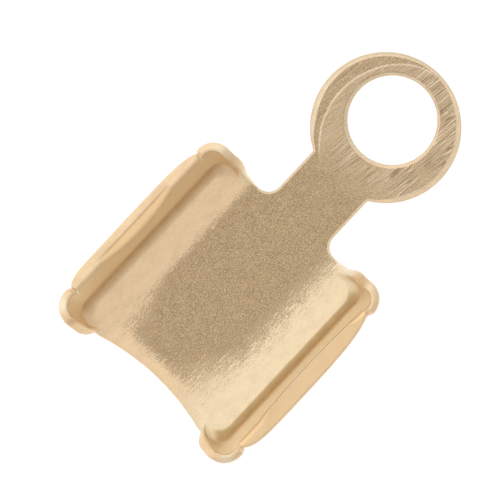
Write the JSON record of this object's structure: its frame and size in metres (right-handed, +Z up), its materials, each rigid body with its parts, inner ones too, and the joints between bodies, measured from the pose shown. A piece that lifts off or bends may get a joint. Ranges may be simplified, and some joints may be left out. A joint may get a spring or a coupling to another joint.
{
  "type": "rhinestone chain end",
  "caption": "Pressed sheet-metal end for rhinestone cup chain: a shallow tray with low side walls to press over the last cup, a flat neck and a round eye for a jump ring.",
  "frame": {"origin": "middle of the eye's hole, on the underside of the sheet", "axes": "+X from the tray to the eye's far end, +Y across the tray, +Z up, out of the tray"},
  "size_m": [0.0097, 0.0056, 0.0011],
  "materials": {
    "gold_plate": "pale gold plate, frosted on the seat, neck and eye, smooth on the bands, walls and cut edges"
  },
  "bodies": {
    "root": {"chain_end": "gold_plate"}
  },
  "joints": []
}
